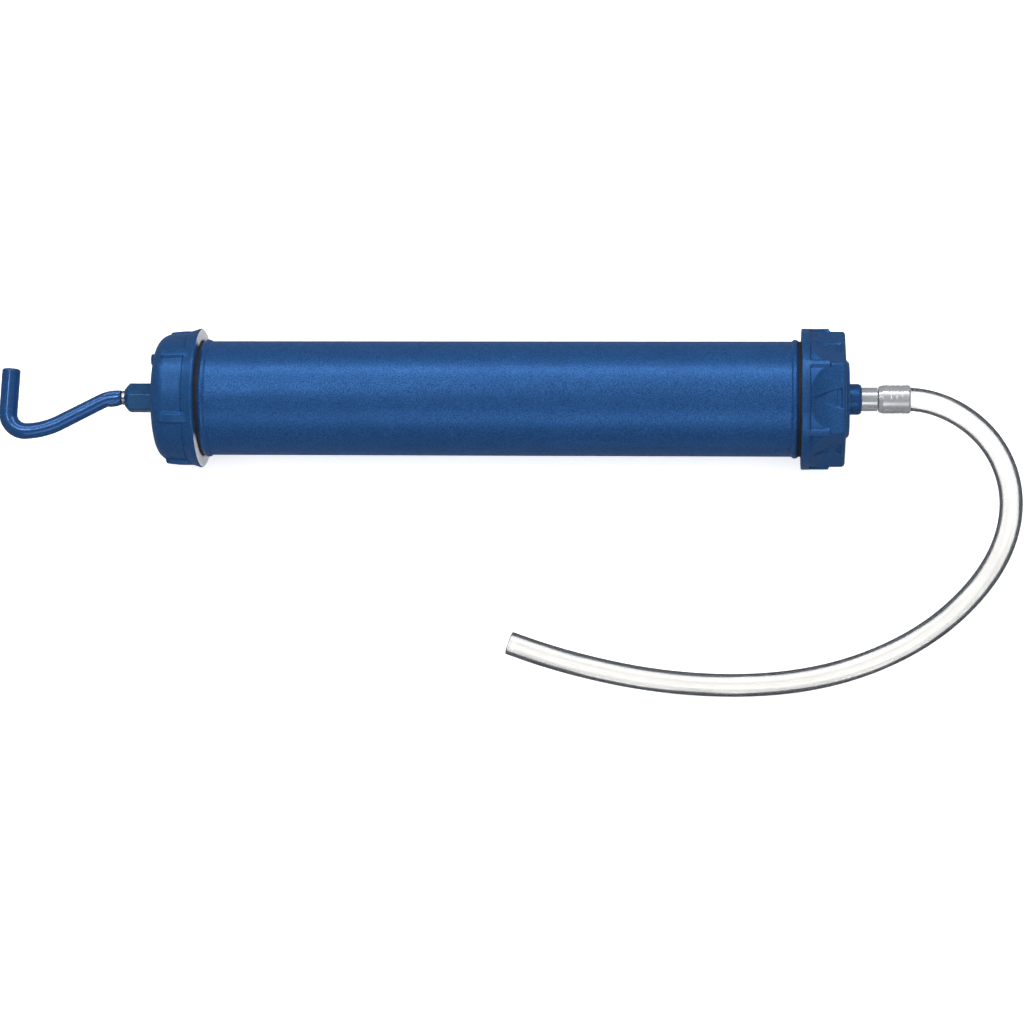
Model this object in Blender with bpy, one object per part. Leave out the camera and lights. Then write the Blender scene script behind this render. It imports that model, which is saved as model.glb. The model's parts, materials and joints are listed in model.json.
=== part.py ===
"""Hand suction gun: a syringe-type fluid transfer pump with a two-inch steel barrel, screw-on cast caps,
a hooked pull rod with a double leather-cup piston, and a short clear hose crimped to its front nipple.

The pump lies on its caps on the plane z = 0. +X runs along the barrel from the handle to the hose,
+Z is up. Lengths below are in millimetres; each X is counted from the middle of the bare barrel.
"""

import math

import bmesh
import bpy
import numpy
from mathutils import Vector

MM = 0.001
GAP = 0.3                       # between pieces that touch on the real pump
INCH = 25.4

# Driving dimensions
BARREL_R = 2 * INCH / 2         # two-inch tube
BARREL_WALL = 1.2
BARREL_BARE = 266.0             # between the open faces of the two caps
BEAD_R = 26.2
BEAD_WIDTH = 2.6
BEAD_FROM_CAP = 1.4
FLANGE_R = 31.1                 # rim of both caps, on which the pump lies
REAR_CAP_LENGTH = 20.0
FRONT_CAP_LENGTH = 19.3
CAP_END_WALL = 4.0
RIB_COUNT = 6
ROD_R = INCH / 4 / 2            # quarter-inch rod
ROD_THREAD_R = 2.95
SPIGOT_R = 2.0
SPIGOT_LENGTH = 5.4
HOSE_R = 5.15

# Number of sides of the round pieces
BARREL_SIDES = 54
PISTON_SIDES = 36
SMALL_SIDES = 24

REAR_FACE = -BARREL_BARE / 2
FRONT_FACE = BARREL_BARE / 2
REAR_END = REAR_FACE - REAR_CAP_LENGTH
FRONT_END = FRONT_FACE + FRONT_CAP_LENGTH
GASKET_THICKNESS = 1.4
BORE_R = BARREL_R - BARREL_WALL
CAP_BORE_R = BARREL_R + GAP
ROD_HOLE_R = ROD_R + 0.225
THREAD_HOLE_R = ROD_THREAD_R + 0.35

# Rear gland: hub in the cap with a guide pressed into its inner end, hex nut whose shank squeezes the packing
HUB_R = 10.0
HUB_REACH = 8.0                 # from the cap's end wall into the barrel
GUIDE_LENGTH = 3.0
REAR_BOSS_R = 9.0
REAR_BOSS_HEIGHT = 2.0
GLAND_BORE_R = 5.7
GLAND_SHANK_R = 5.4
GLAND_SHANK_LENGTH = 5.6
GLAND_NUT_FLATS = 12.0
GLAND_NUT_LENGTH = 12.9
GLAND_NUT_CONE = 2.2
GLAND_NUT_TIP_R = 4.1
GLAND_WASHER_THICKNESS = 0.8
ROD_BARE = 1.7                  # rod showing between the gland nut and the handle

# Front fitting: boss on the cap, nipple, crimped ferrule
BOSS_R = 6.8
BOSS_LENGTH = 7.1
BOSS_CHAMFER = 1.2
NIPPLE_HOLE_R = 4.3
NIPPLE_SHANK_R = 4.0
NIPPLE_BORE_R = 1.9
NIPPLE_COLLAR_R = 5.2
NIPPLE_COLLAR_LENGTH = 7.2
BARB_NECK_R = 3.0
BARB_R = 3.4
BARB_COUNT = 3
BARB_PITCH = 2.1
SEAL_SEAT_R = 5.6
SEAL_SEAT_DEPTH = 1.6
FERRULE_R = 6.25
FERRULE_LENGTH = 14.0
FERRULE_BORE_R = 5.5
FERRULE_END_WALL = 1.3

# Piston stack on the rod, from the front nut backwards
NUT_FLATS = 10.0
NUT_THICKNESS = 5.0
SPRING_WASHER_THICKNESS = 1.3
FOLLOWER_R = 20.5
FOLLOWER_THICKNESS = 1.5
CUP_R = 23.9
CUP_WALL = 2.0
CUP_FLOOR = 2.5
CUP_DEPTH = 10.0
SPACER_R = 22.5
SPACER_THICKNESS = 3.0
ROD_END_FROM_WALL = 2.7         # rod's front end to the front cap's end wall
ROD_PAST_NUT = 1.4

# Handle: a bent bar as (kind, length or radius, turn in degrees), starting along -X; + turns towards -Y
HANDLE_PATH = (
    ("line", 2.0, 0),
    ("arc", 16.0, 27.4),
    ("line", 20.5, 0),
    ("arc", 36.0, -25.4),
    ("arc", 8.2, -94.0),
    ("line", 19.6, 0),
)
HANDLE_START_R = 3.35
HANDLE_SHANK_R = 3.5
HANDLE_GRIP_R = 4.1
HANDLE_SIDES = 16
CRIMP_EAR_R = 1.5

# Hose route from the ferrule's mouth: X and Y as above, Z from the table
HOSE_ROUTE = (
    (181.5, 0.0, 31.1), (193.7, -2.4, 30.3), (205.2, -8.0, 28.2), (214.8, -16.2, 25.3), (221.7, -26.6, 21.7),
    (225.3, -38.4, 17.9), (225.3, -50.8, 14.1), (222.0, -62.8, 10.6), (215.4, -74.8, 7.6), (206.6, -85.5, 5.7),
    (196.3, -95.0, 5.3), (183.2, -104.1, 5.3), (167.1, -112.2, 5.3), (149.2, -118.4, 5.3), (129.6, -122.4, 5.3),
    (107.7, -124.2, 5.3), (84.7, -123.7, 5.3), (60.9, -121.0, 5.3), (37.3, -116.2, 5.3), (20.0, -111.5, 5.3),
    (3.8, -106.1, 5.3),
)
HOSE_STEP = 16.0                # between the points of the hose's curve


def handle_points():
    """(points, distances) along the handle's centreline, as X and Y from the rod's end."""
    x, y, heading, run = 0.0, 0.0, 180.0, 0.0
    points, runs = [(x, y)], [run]
    for kind, size, turn in HANDLE_PATH:
        steps = 1 if kind == "line" else max(2, round(abs(turn) / 11))
        for _ in range(steps):
            step = size if kind == "line" else 2 * size * math.sin(math.radians(abs(turn) / steps / 2))
            heading += turn / steps / 2
            x += step * math.cos(math.radians(heading))
            y += step * math.sin(math.radians(heading))
            heading += turn / steps / 2
            run += step
            points.append((x, y))
            runs.append(run)
    return points, runs


FRONT_WALL = FRONT_END - CAP_END_WALL
REAR_WALL = REAR_END + CAP_END_WALL
BOSS_END = FRONT_END + BOSS_LENGTH
COLLAR_END = BOSS_END + NIPPLE_COLLAR_LENGTH
FERRULE_START = COLLAR_END + GAP
FERRULE_END = FERRULE_START + FERRULE_LENGTH
GLAND_NUT_START = REAR_END - REAR_BOSS_HEIGHT - GAP
GLAND_NUT_END = GLAND_NUT_START - GLAND_NUT_LENGTH
HANDLE_START = GLAND_NUT_END - ROD_BARE
HOOK_REACH = min(x for x, y in handle_points()[0]) - HANDLE_GRIP_R
X_SHIFT = -(HANDLE_START + HOOK_REACH + FERRULE_END) / 2     # brings the middle of the rigid pump to x = 0


def material(name, color, metallic, roughness, alpha=1.0):
    made = bpy.data.materials.new(name)
    made.use_nodes = True
    shader = made.node_tree.nodes["Principled BSDF"]
    shader.inputs["Base Color"].default_value = (*color, 1)
    shader.inputs["Metallic"].default_value = metallic
    shader.inputs["Roughness"].default_value = roughness
    shader.inputs["Alpha"].default_value = alpha
    return made


def add_object(name, data, finish, x=0.0):
    """Links an object whose origin lies on the pump's axis, x millimetres from the barrel's middle."""
    made = bpy.data.objects.new(name, data)
    data.materials.append(finish)
    bpy.context.scene.collection.objects.link(made)
    made.parent = bpy.data.objects["pump_axis"]
    made.location = (x * MM, 0, 0)
    return made


def mesh_of(name, shape):
    bmesh.ops.recalc_face_normals(shape, faces=shape.faces)
    data = bpy.data.meshes.new(name)
    shape.to_mesh(data)
    shape.free()
    data.shade_smooth()
    data.set_sharp_from_angle(angle=math.radians(35))
    return data


def even_angles(sides):
    return [360 * i / sides for i in range(sides)]


def turned_mesh(name, rings, angles):
    """A closed body round the X axis. rings are (x, radius) in millimetres, in order round the section; a
    radius may be a function of the angle in degrees, counted from +Z towards +Y. A radius of 0 at the first
    and last ring closes a solid end on the axis."""
    shape = bmesh.new()
    loops = []
    for x, radius in rings:
        if radius == 0:
            loops.append([shape.verts.new((x * MM, 0, 0))])
            continue
        loop = []
        for angle in angles:
            r = (radius(angle) if callable(radius) else radius) * MM
            turn = math.radians(angle)
            loop.append(shape.verts.new((x * MM, r * math.sin(turn), r * math.cos(turn))))
        loops.append(loop)
    solid = len(loops[0]) == 1
    pairs = list(zip(loops, loops[1:])) if solid else list(zip(loops, loops[1:] + loops[:1]))
    count = len(angles)
    for first, second in pairs:
        for i in range(count):
            j = (i + 1) % count
            if len(first) == 1:
                shape.faces.new((first[0], second[i], second[j]))
            elif len(second) == 1:
                shape.faces.new((first[i], second[0], first[j]))
            else:
                shape.faces.new((first[i], second[i], second[j], first[j]))
    return mesh_of(name, shape)


def turned(name, finish, x, rings, sides=SMALL_SIDES, angles=None):
    return add_object(name, turned_mesh(name, rings, angles or even_angles(sides)), finish, x)


def hex_radius(flats):
    """Radius of a hexagon with one corner up, as a function of the angle."""
    def radius(angle):
        off_flat = angle % 60 - 30
        return flats / 2 / math.cos(math.radians(off_flat))
    return radius


def capped(radius, limit):
    return lambda angle: min(radius(angle), limit)


def combine(target, name, data, operation, x=0.0):
    """Joins a helper shape to the target, or cuts it away, with a Boolean."""
    helper = bpy.data.objects.new(name, data)
    bpy.context.scene.collection.objects.link(helper)
    helper.parent = bpy.data.objects["pump_axis"]
    helper.location = (x * MM, 0, 0)
    helper.hide_render = True
    helper.display_type = "WIRE"
    boolean = target.modifiers.new(name, "BOOLEAN")
    boolean.operation = operation
    boolean.object = helper


def sector_angles(first_rib, offsets):
    """Angles round a ribbed cap: the same offsets from each rib's centre line."""
    step = 360 / RIB_COUNT
    return sorted((first_rib + step * k + offset) % 360 for k in range(RIB_COUNT) for offset in offsets)


def off_rib(angle, first_rib):
    step = 360 / RIB_COUNT
    return abs((angle - first_rib + step / 2) % step - step / 2)


def make_barrel(finish):
    half = BEAD_WIDTH / 2
    rear_bead = REAR_FACE + BEAD_FROM_CAP + half
    front_bead = FRONT_FACE - BEAD_FROM_CAP - half
    rear_end = REAR_WALL + GASKET_THICKNESS + 2 * GAP
    front_end = FRONT_WALL - GASKET_THICKNESS - 2 * GAP
    outer = [(rear_end, BARREL_R - 0.4), (rear_end + 0.4, BARREL_R)]
    for bead in (rear_bead, front_bead):
        outer += [(bead - half, BARREL_R), (bead - half / 2, BEAD_R)]
        outer += [(bead + half / 2, BEAD_R), (bead + half, BARREL_R)]
    outer += [(front_end - 0.4, BARREL_R), (front_end, BARREL_R - 0.4)]
    turned("barrel", finish, 0, outer + [(front_end, BORE_R), (rear_end, BORE_R)], BARREL_SIDES)


def make_rear_cap(finish):
    """Cast cap, screwed on the barrel: six round-ended ribs, a flared rim, and a hub for the rod's gland."""
    body_r, rib_r = 28.9, 30.3
    shoulder = 7.0
    rib_start, rib_length = 6.0, 10.4
    first_rib, rib_half, rib_foot = 32.0, 4.4, 5.6

    def rib(share):
        def radius(angle):
            off = off_rib(angle, first_rib)
            lift = max(0.0, min(1.0, (rib_foot - off) / (rib_foot - rib_half)))
            return body_r + share * lift * (rib_r - body_r)
        return radius

    rings = [(0, CAP_BORE_R), (0, FLANGE_R - 0.4), (-0.4, FLANGE_R), (-2.0, FLANGE_R - 0.5)]
    rings += [(-rib_start + 1.0, body_r + 0.6), (-rib_start, body_r - 0.3)]
    rings += [(-rib_start - 0.6, rib(1)), (-rib_start - rib_length + 1.6, rib(1))]
    rings += [(-rib_start - rib_length, rib(0))]
    steps = 3
    for i in range(steps + 1):
        turn = math.radians(90 * (0.25 + 0.75 * i / steps))
        x = -REAR_CAP_LENGTH + shoulder * (1 - math.sin(turn))
        rings.append((x, body_r - shoulder * (1 - math.cos(turn))))
    boss_x = -REAR_CAP_LENGTH - REAR_BOSS_HEIGHT
    rings += [(-REAR_CAP_LENGTH, REAR_BOSS_R), (boss_x + 0.5, REAR_BOSS_R), (boss_x, REAR_BOSS_R - 0.5)]
    wall_x = -REAR_CAP_LENGTH + CAP_END_WALL
    hub_x = wall_x + HUB_REACH
    rings += [(boss_x, GLAND_BORE_R), (hub_x, GLAND_BORE_R)]
    rings += [(hub_x, HUB_R - 0.8), (hub_x - 0.8, HUB_R), (wall_x, HUB_R), (wall_x, CAP_BORE_R)]
    offsets = (-rib_foot, -rib_half, rib_half, rib_foot, 14, 22, 30, 38, 46)
    cap = turned("rear_cap", finish, REAR_FACE, rings, angles=sector_angles(first_rib, offsets))
    add_vent(cap)


def add_vent(cap):
    """A small boss with an air hole on the rear cap's face, so that the back of the barrel can breathe."""
    vent_r, vent_height, hole_r, off_axis, vent_angle = 2.6, 1.7, 0.8, 19.0, math.radians(52)

    def cylinder(name, radius, start, end):
        data = turned_mesh(name, [(start, 0), (start, radius), (end, radius), (end, 0)], even_angles(12))
        for vert in data.vertices:
            vert.co.y += off_axis * math.sin(vent_angle) * MM
            vert.co.z += off_axis * math.cos(vent_angle) * MM
        return data

    face = -REAR_CAP_LENGTH
    combine(cap, "vent_boss", cylinder("vent_boss", vent_r, face - vent_height, face + 1), "UNION", REAR_FACE)
    hole = cylinder("vent_hole", hole_r, face - vent_height - 1, face + CAP_END_WALL + 1)
    combine(cap, "vent_hole", hole, "DIFFERENCE", REAR_FACE)


def make_front_cap(finish):
    """Cast cap with a rim, six ribs, six scooped flats ending in a hexagonal nose, and a boss for the hose."""
    body_r, flange_width, rib_length = 29.8, 3.5, 8.6
    corner, nose_flat_r, scoop_length = 1.5, 25.9, 12.0
    first_rib, rib_half, rib_foot = 20.5, 3.2, 4.2
    pad_r, pad_height = 17.8, 1.8

    def flat(x):
        """Distance of the scooped flats from the axis, x from the cap's open face."""
        share = min(1.0, (x - flange_width) / scoop_length)
        return body_r + (1 - (1 - share) ** 2) * (nose_flat_r - body_r)

    def nose(x, rib_share=0.0, inset=0.0):
        def radius(angle):
            off = off_rib(angle, first_rib)
            lift = max(0.0, min(1.0, (rib_foot - off) / (rib_foot - rib_half)))
            plain = min(body_r, flat(x) / math.cos(math.radians(30 - off)))
            return plain + rib_share * lift * (FLANGE_R - plain) - inset
        return radius

    rib_end = flange_width + rib_length
    rings = [(0, CAP_BORE_R), (0, FLANGE_R - 0.4), (0.4, FLANGE_R), (flange_width - 0.3, FLANGE_R)]
    for x, rib_share in ((flange_width, 1), (7.0, 1), (rib_end - 0.8, 1), (rib_end, 0)):
        rings.append((x, nose(x, rib_share)))
    corner_x = FRONT_CAP_LENGTH - corner
    rings += [(corner_x, nose(corner_x)), (FRONT_CAP_LENGTH, nose(FRONT_CAP_LENGTH, 0, corner))]
    pad_x = FRONT_CAP_LENGTH + pad_height
    rings += [(FRONT_CAP_LENGTH, pad_r), (pad_x, pad_r - pad_height), (pad_x, BOSS_R)]
    boss_x = FRONT_CAP_LENGTH + BOSS_LENGTH
    wall_x = FRONT_CAP_LENGTH - CAP_END_WALL
    rings += [(boss_x - BOSS_CHAMFER, BOSS_R), (boss_x, BOSS_R - BOSS_CHAMFER * 0.6)]
    rings += [(boss_x, SEAL_SEAT_R), (boss_x - SEAL_SEAT_DEPTH, SEAL_SEAT_R)]
    rings.append((boss_x - SEAL_SEAT_DEPTH, NIPPLE_HOLE_R))
    rings += [(wall_x, NIPPLE_HOLE_R), (wall_x, CAP_BORE_R)]
    offsets = (-rib_foot, -rib_half, rib_half, rib_foot, 13, 21.5, 30, 38.5, 47)
    turned("front_cap", finish, FRONT_FACE, rings, angles=sector_angles(first_rib, offsets))


def make_gaskets(finish):
    front_start = FRONT_WALL - GAP - GASKET_THICKNESS
    for name, x in (("rear_cap_gasket", REAR_WALL + GAP), ("front_cap_gasket", front_start)):
        rings = [(0, 22.8), (0, BARREL_R - 0.1), (GASKET_THICKNESS, BARREL_R - 0.1), (GASKET_THICKNESS, 22.8)]
        turned(name, finish, x, rings, PISTON_SIDES)


def make_gland(paint, brass, felt):
    def sleeve(name, finish, start, end):
        length = end - start
        rings = [(0, ROD_HOLE_R), (0, GLAND_SHANK_R), (length, GLAND_SHANK_R), (length, ROD_HOLE_R)]
        turned(name, finish, start, rings)

    guide_x = REAR_WALL + HUB_REACH - GUIDE_LENGTH
    washer_x = guide_x - GAP - GLAND_WASHER_THICKNESS
    shank_end = GLAND_NUT_START + GLAND_SHANK_LENGTH
    sleeve("rod_guide", brass, guide_x, guide_x + GUIDE_LENGTH)
    sleeve("gland_washer", brass, washer_x, washer_x + GLAND_WASHER_THICKNESS)
    sleeve("gland_packing", felt, shank_end + GAP, washer_x - GAP)
    flats = hex_radius(GLAND_NUT_FLATS)
    rings = [(GLAND_SHANK_LENGTH, ROD_HOLE_R), (GLAND_SHANK_LENGTH, GLAND_SHANK_R), (0, GLAND_SHANK_R)]
    rings += [(0, capped(flats, GLAND_NUT_FLATS / 2 + 0.3)), (-0.6, flats)]
    rings.append((-GLAND_NUT_LENGTH + GLAND_NUT_CONE, flats))
    rings += [(-GLAND_NUT_LENGTH, GLAND_NUT_TIP_R), (-GLAND_NUT_LENGTH, ROD_HOLE_R)]
    turned("gland_nut", paint, GLAND_NUT_START, rings, sides=36)


def make_hose_fitting(zinc, fibre):
    seat = BOSS_END - SEAL_SEAT_DEPTH
    thickness = SEAL_SEAT_DEPTH - 2 * GAP
    outer_r = SEAL_SEAT_R - GAP
    rings = [(0, NIPPLE_HOLE_R), (0, outer_r), (thickness, outer_r), (thickness, NIPPLE_HOLE_R)]
    turned("nipple_seal", fibre, seat + GAP, rings)
    shank = FRONT_WALL + GAP - BOSS_END
    rings = [(shank, NIPPLE_BORE_R), (shank, NIPPLE_SHANK_R), (0, NIPPLE_SHANK_R), (0, NIPPLE_COLLAR_R - 0.3)]
    rings += [(0.3, NIPPLE_COLLAR_R), (NIPPLE_COLLAR_LENGTH - 0.4, NIPPLE_COLLAR_R)]
    rings += [(NIPPLE_COLLAR_LENGTH, NIPPLE_COLLAR_R - 0.4), (NIPPLE_COLLAR_LENGTH, BARB_NECK_R)]
    barb_x = NIPPLE_COLLAR_LENGTH + FERRULE_END_WALL + 3 * GAP
    for _ in range(BARB_COUNT):
        rings += [(barb_x, BARB_NECK_R), (barb_x + 0.1, BARB_R)]
        barb_x += BARB_PITCH
    rings += [(barb_x, BARB_NECK_R - 0.3), (barb_x, NIPPLE_BORE_R)]
    turned("hose_nipple", zinc, BOSS_END, rings, sides=20)
    rings = [(0, BARB_NECK_R + GAP), (0, NIPPLE_COLLAR_R + 0.5), (2.0, FERRULE_R)]
    rings.append((FERRULE_LENGTH - 0.6, FERRULE_R))
    rings += [(FERRULE_LENGTH, FERRULE_R - 0.5), (FERRULE_LENGTH, FERRULE_BORE_R)]
    rings += [(FERRULE_END_WALL, FERRULE_BORE_R), (FERRULE_END_WALL, BARB_NECK_R + GAP)]
    turned("hose_ferrule", zinc, FERRULE_START, rings)
    return BOSS_END + barb_x


def make_piston(steel, leather):
    """The stack on the rod's threaded end, built backwards from its front nut. Returns where it ends."""
    flats = hex_radius(NUT_FLATS)

    def nut(name, x):
        rings = [(0, THREAD_HOLE_R), (0, capped(flats, NUT_FLATS / 2 + 0.2))]
        rings += [(0.5, flats), (NUT_THICKNESS - 0.5, flats)]
        rings += [(NUT_THICKNESS, capped(flats, NUT_FLATS / 2 + 0.2)), (NUT_THICKNESS, THREAD_HOLE_R)]
        turned(name, steel, x, rings, sides=24)

    def disc(name, x, thickness, radius, sides=PISTON_SIDES):
        rings = [(0, THREAD_HOLE_R), (0, radius), (thickness, radius), (thickness, THREAD_HOLE_R)]
        turned(name, steel, x, rings, sides)

    def cup(name, x, facing):
        """A leather cup whose floor starts at x and whose lip points along facing, +1 forwards or -1 back."""
        lip_r = CUP_R - CUP_WALL
        section = [(0, THREAD_HOLE_R), (0, CUP_R - 1.6), (1.6, CUP_R), (CUP_DEPTH, CUP_R)]
        section.append((CUP_DEPTH, lip_r + 0.8))
        section += [(CUP_DEPTH - 2.5, lip_r), (CUP_FLOOR + 1.0, lip_r), (CUP_FLOOR, lip_r - 1.0)]
        section += [(CUP_FLOOR, THREAD_HOLE_R)]
        turned(name, leather, x, [(facing * along, r) for along, r in section], PISTON_SIDES)

    x = FRONT_WALL - ROD_END_FROM_WALL - ROD_PAST_NUT - NUT_THICKNESS
    nut("piston_nut", x)
    x -= GAP + SPRING_WASHER_THICKNESS
    make_spring_washer(steel, x)
    x -= GAP + FOLLOWER_THICKNESS
    disc("front_follower", x, FOLLOWER_THICKNESS, FOLLOWER_R)
    x -= GAP + CUP_FLOOR
    cup("front_cup", x, 1)
    x -= GAP + SPACER_THICKNESS
    disc("cup_spacer", x, SPACER_THICKNESS, SPACER_R)
    x -= GAP
    cup("rear_cup", x, -1)
    x -= CUP_FLOOR + GAP + FOLLOWER_THICKNESS
    disc("rear_follower", x, FOLLOWER_THICKNESS, FOLLOWER_R)
    x -= GAP + NUT_THICKNESS
    nut("rear_jam_nut", x)
    return x


def make_spring_washer(steel, x):
    """A split lock washer: a ring of rectangular section with a narrow gap."""
    inner, outer, split, steps = THREAD_HOLE_R, 5.4, 14, 24
    shape = bmesh.new()
    sections = []
    for i in range(steps + 1):
        turn = math.radians(split / 2 + (360 - split) * i / steps)
        corners = ((0, inner), (0, outer), (SPRING_WASHER_THICKNESS, outer), (SPRING_WASHER_THICKNESS, inner))
        sections.append([
            shape.verts.new((along * MM, r * math.sin(turn) * MM, r * math.cos(turn) * MM))
            for along, r in corners
        ])
    for first, second in zip(sections, sections[1:]):
        for i in range(4):
            j = (i + 1) % 4
            shape.faces.new((first[i], second[i], second[j], first[j]))
    shape.faces.new(sections[0])
    shape.faces.new(reversed(sections[-1]))
    add_object("spring_washer", mesh_of("spring_washer", shape), steel, x)


def make_rod(steel, stack_rear):
    """Straight rod: threaded end in the piston, plain shank through the gland, spigot in the handle."""
    front = FRONT_WALL - ROD_END_FROM_WALL
    thread_start = stack_rear - GAP
    shank_end = HANDLE_START + GAP
    rings = [(front, 0), (front, ROD_THREAD_R - 0.5), (front - 0.5, ROD_THREAD_R)]
    rings += [(thread_start, ROD_THREAD_R), (thread_start - 0.2, ROD_R)]
    rings += [(shank_end + 0.2, ROD_R), (shank_end, ROD_R - 0.2), (shank_end, SPIGOT_R)]
    rings += [(HANDLE_START - SPIGOT_LENGTH, SPIGOT_R), (HANDLE_START - SPIGOT_LENGTH, 0)]
    turned("piston_rod", steel, 0, rings, sides=24)


def handle_radius(run, total):
    """The bar thickens evenly along its shank and is thickest in the upright grip."""
    share = run / total
    if share < 0.12:
        return HANDLE_START_R
    if share < 0.55:
        return HANDLE_START_R + (HANDLE_SHANK_R - HANDLE_START_R) * (share - 0.12) / 0.43
    return min(HANDLE_GRIP_R, HANDLE_SHANK_R + (HANDLE_GRIP_R - HANDLE_SHANK_R) * (share - 0.55) / 0.2)


def make_handle(paint):
    """The bent bar with its hooked grip, drilled for the rod's spigot and pinched to it under the bar."""
    points, runs = handle_points()
    shape = bmesh.new()
    sections = []
    for i, (x, y) in enumerate(points):
        before, after = points[max(i - 1, 0)], points[min(i + 1, len(points) - 1)]
        along = Vector((after[0] - before[0], after[1] - before[1], 0)).normalized()
        side = Vector((-along.y, along.x, 0))
        r = handle_radius(runs[i], runs[-1])
        section = []
        for k in range(HANDLE_SIDES):
            turn = 2 * math.pi * k / HANDLE_SIDES
            offset = side * (r * math.cos(turn)) + Vector((0, 0, r * math.sin(turn)))
            section.append(shape.verts.new((Vector((x, y, 0)) + offset) * MM))
        sections.append(section)
    for first, second in zip(sections, sections[1:]):
        for i in range(HANDLE_SIDES):
            j = (i + 1) % HANDLE_SIDES
            shape.faces.new((first[i], second[i], second[j], first[j]))
    shape.faces.new(sections[0])
    shape.faces.new(reversed(sections[-1]))
    handle = add_object("pull_handle", mesh_of("pull_handle", shape), paint, HANDLE_START)
    ear_rings = [(-1.0, 0), (-1.2, CRIMP_EAR_R * 0.7), (-2.4, CRIMP_EAR_R)]
    ear_rings += [(-5.4, CRIMP_EAR_R), (-6.6, CRIMP_EAR_R * 0.7), (-6.8, 0)]
    ear = turned_mesh("crimp_ear", ear_rings, even_angles(12))
    for vert in ear.vertices:
        vert.co.y -= (HANDLE_START_R - CRIMP_EAR_R + 0.45) * MM
    combine(handle, "crimp_ear", ear, "UNION", HANDLE_START)
    bore = [(1, 0), (1, SPIGOT_R + GAP), (-SPIGOT_LENGTH - GAP, SPIGOT_R + GAP), (-SPIGOT_LENGTH - GAP, 0)]
    bore_mesh = turned_mesh("spigot_bore", bore, even_angles(16))
    combine(handle, "spigot_bore", bore_mesh, "DIFFERENCE", HANDLE_START)


def smooth_route(route, step=1.0):
    """Points about a step apart on the natural cubic spline through the route's points."""
    knots = numpy.array(route)
    spans = numpy.linalg.norm(numpy.diff(knots, axis=0), axis=1)
    system = numpy.eye(len(knots))
    bends = numpy.zeros_like(knots)
    for i in range(1, len(spans)):
        system[i, i - 1:i + 2] = spans[i - 1], 2 * (spans[i - 1] + spans[i]), spans[i]
        bends[i] = 6 * ((knots[i + 1] - knots[i]) / spans[i] - (knots[i] - knots[i - 1]) / spans[i - 1])
    bends = numpy.linalg.solve(system, bends)
    made = []
    for i, span in enumerate(spans):
        for after in numpy.arange(0, span, step):
            before = span - after
            start = bends[i] * before * (before**2 - span**2) / 6 + knots[i] * before
            end = bends[i + 1] * after * (after**2 - span**2) / 6 + knots[i + 1] * after
            made.append(Vector((start + end) / span))
    return [*made, Vector(knots[-1])]


def even_steps(points, step):
    """Points a step apart along a dense line, its two ends included."""
    runs = [0.0]
    for a, b in zip(points, points[1:]):
        runs.append(runs[-1] + (b - a).length)
    count = round(runs[-1] / step)
    made, i = [], 0
    for k in range(count + 1):
        at = runs[-1] * k / count
        while i < len(runs) - 2 and runs[i + 1] < at:
            i += 1
        made.append(points[i].lerp(points[i + 1], (at - runs[i]) / (runs[i + 1] - runs[i])))
    return made


def make_hose(vinyl, start_x):
    """The hose from the nipple's tip, inside the ferrule, down to the table and round to its open end."""
    start = Vector((start_x, 0.0, FLANGE_R))
    inside = math.ceil(HOSE_ROUTE[0][0] - start_x)
    points = [start, *even_steps(smooth_route((start, *HOSE_ROUTE))[inside:], HOSE_STEP)]
    curve = bpy.data.curves.new("hose", "CURVE")
    curve.dimensions = "3D"
    curve.bevel_depth = HOSE_R * MM
    curve.bevel_resolution = 3
    curve.use_fill_caps = True
    spline = curve.splines.new("POLY")
    spline.points.add(len(points) - 1)
    for point, place in zip(spline.points, points):
        point.co = (place.x * MM, place.y * MM, (place.z - FLANGE_R) * MM, 1)
    add_object("hose", curve, vinyl)


def main():
    for old in list(bpy.data.objects):
        bpy.data.objects.remove(old)
    axis = bpy.data.objects.new("pump_axis", None)
    bpy.context.scene.collection.objects.link(axis)
    axis.location = (X_SHIFT * MM, 0, FLANGE_R * MM)

    paint = material("blue_paint", (0.02, 0.08, 0.28), 0.0, 0.42)
    steel = material("bright_steel", (0.62, 0.62, 0.6), 1.0, 0.28)
    zinc = material("zinc_plate", (0.66, 0.66, 0.64), 1.0, 0.3)
    brass = material("brass", (0.7, 0.52, 0.22), 1.0, 0.32)
    leather = material("oiled_leather", (0.2, 0.1, 0.045), 0.0, 0.6)
    felt = material("graphite_felt", (0.06, 0.06, 0.06), 0.0, 0.85)
    rubber = material("black_rubber", (0.025, 0.025, 0.025), 0.0, 0.6)
    fibre = material("red_fibre", (0.3, 0.06, 0.03), 0.0, 0.7)
    vinyl = material("clear_vinyl", (0.85, 0.87, 0.88), 0.0, 0.12, 0.45)

    make_barrel(paint)
    make_rear_cap(paint)
    make_front_cap(paint)
    make_gaskets(rubber)
    make_gland(paint, brass, felt)
    nipple_tip = make_hose_fitting(zinc, fibre)
    make_rod(steel, make_piston(steel, leather))
    make_handle(paint)
    make_hose(vinyl, nipple_tip + GAP)


main()
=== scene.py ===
"""Looks of the hand suction gun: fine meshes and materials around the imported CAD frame, one section per
kind of piece. Lengths in the helpers are in millimetres and in the row frame, unless they say otherwise.
"""

import json
import math

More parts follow.
